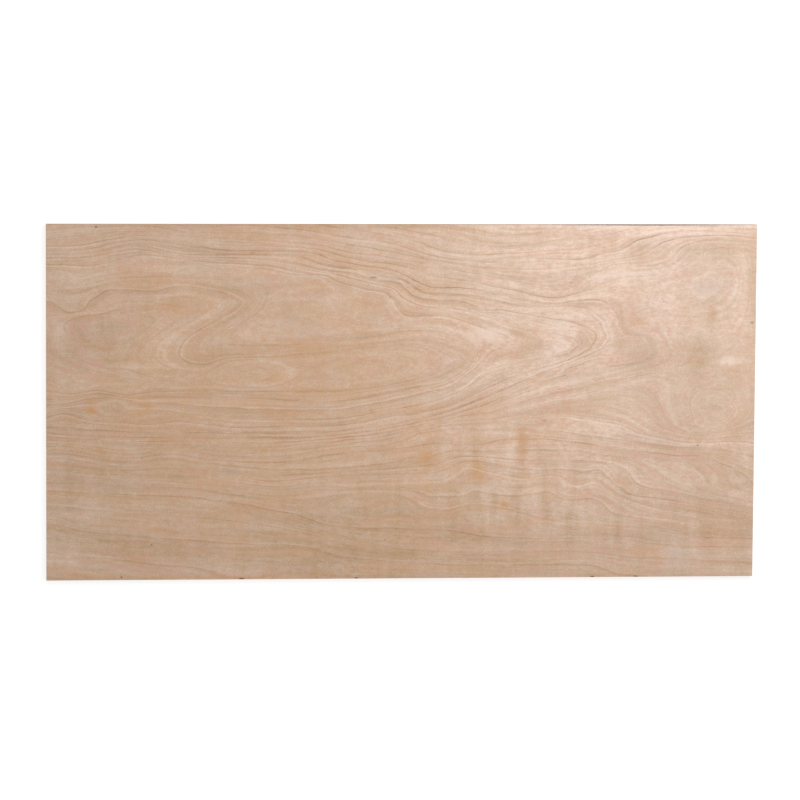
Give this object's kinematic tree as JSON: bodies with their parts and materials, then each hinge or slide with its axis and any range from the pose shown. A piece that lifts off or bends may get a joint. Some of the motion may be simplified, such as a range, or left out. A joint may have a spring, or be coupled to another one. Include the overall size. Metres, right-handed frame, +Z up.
{
  "type": "plywood sheet",
  "caption": "Flat rectangular sheet of hardwood-faced plywood, crosswise veneers glued into one board, for lining, decking, boxes and cabinets.",
  "frame": {"origin": "middle of the back face, which lies on the floor", "axes": "+X along the grain of the show face, which is the long side; +Y across it; +Z up out of the show face"},
  "size_m": [2.44, 1.22, 0.018],
  "materials": {
    "veneered_wood": "sanded, unfinished"
  },
  "bodies": {
    "root": {"plywood_sheet": "veneered_wood"}
  },
  "joints": []
}
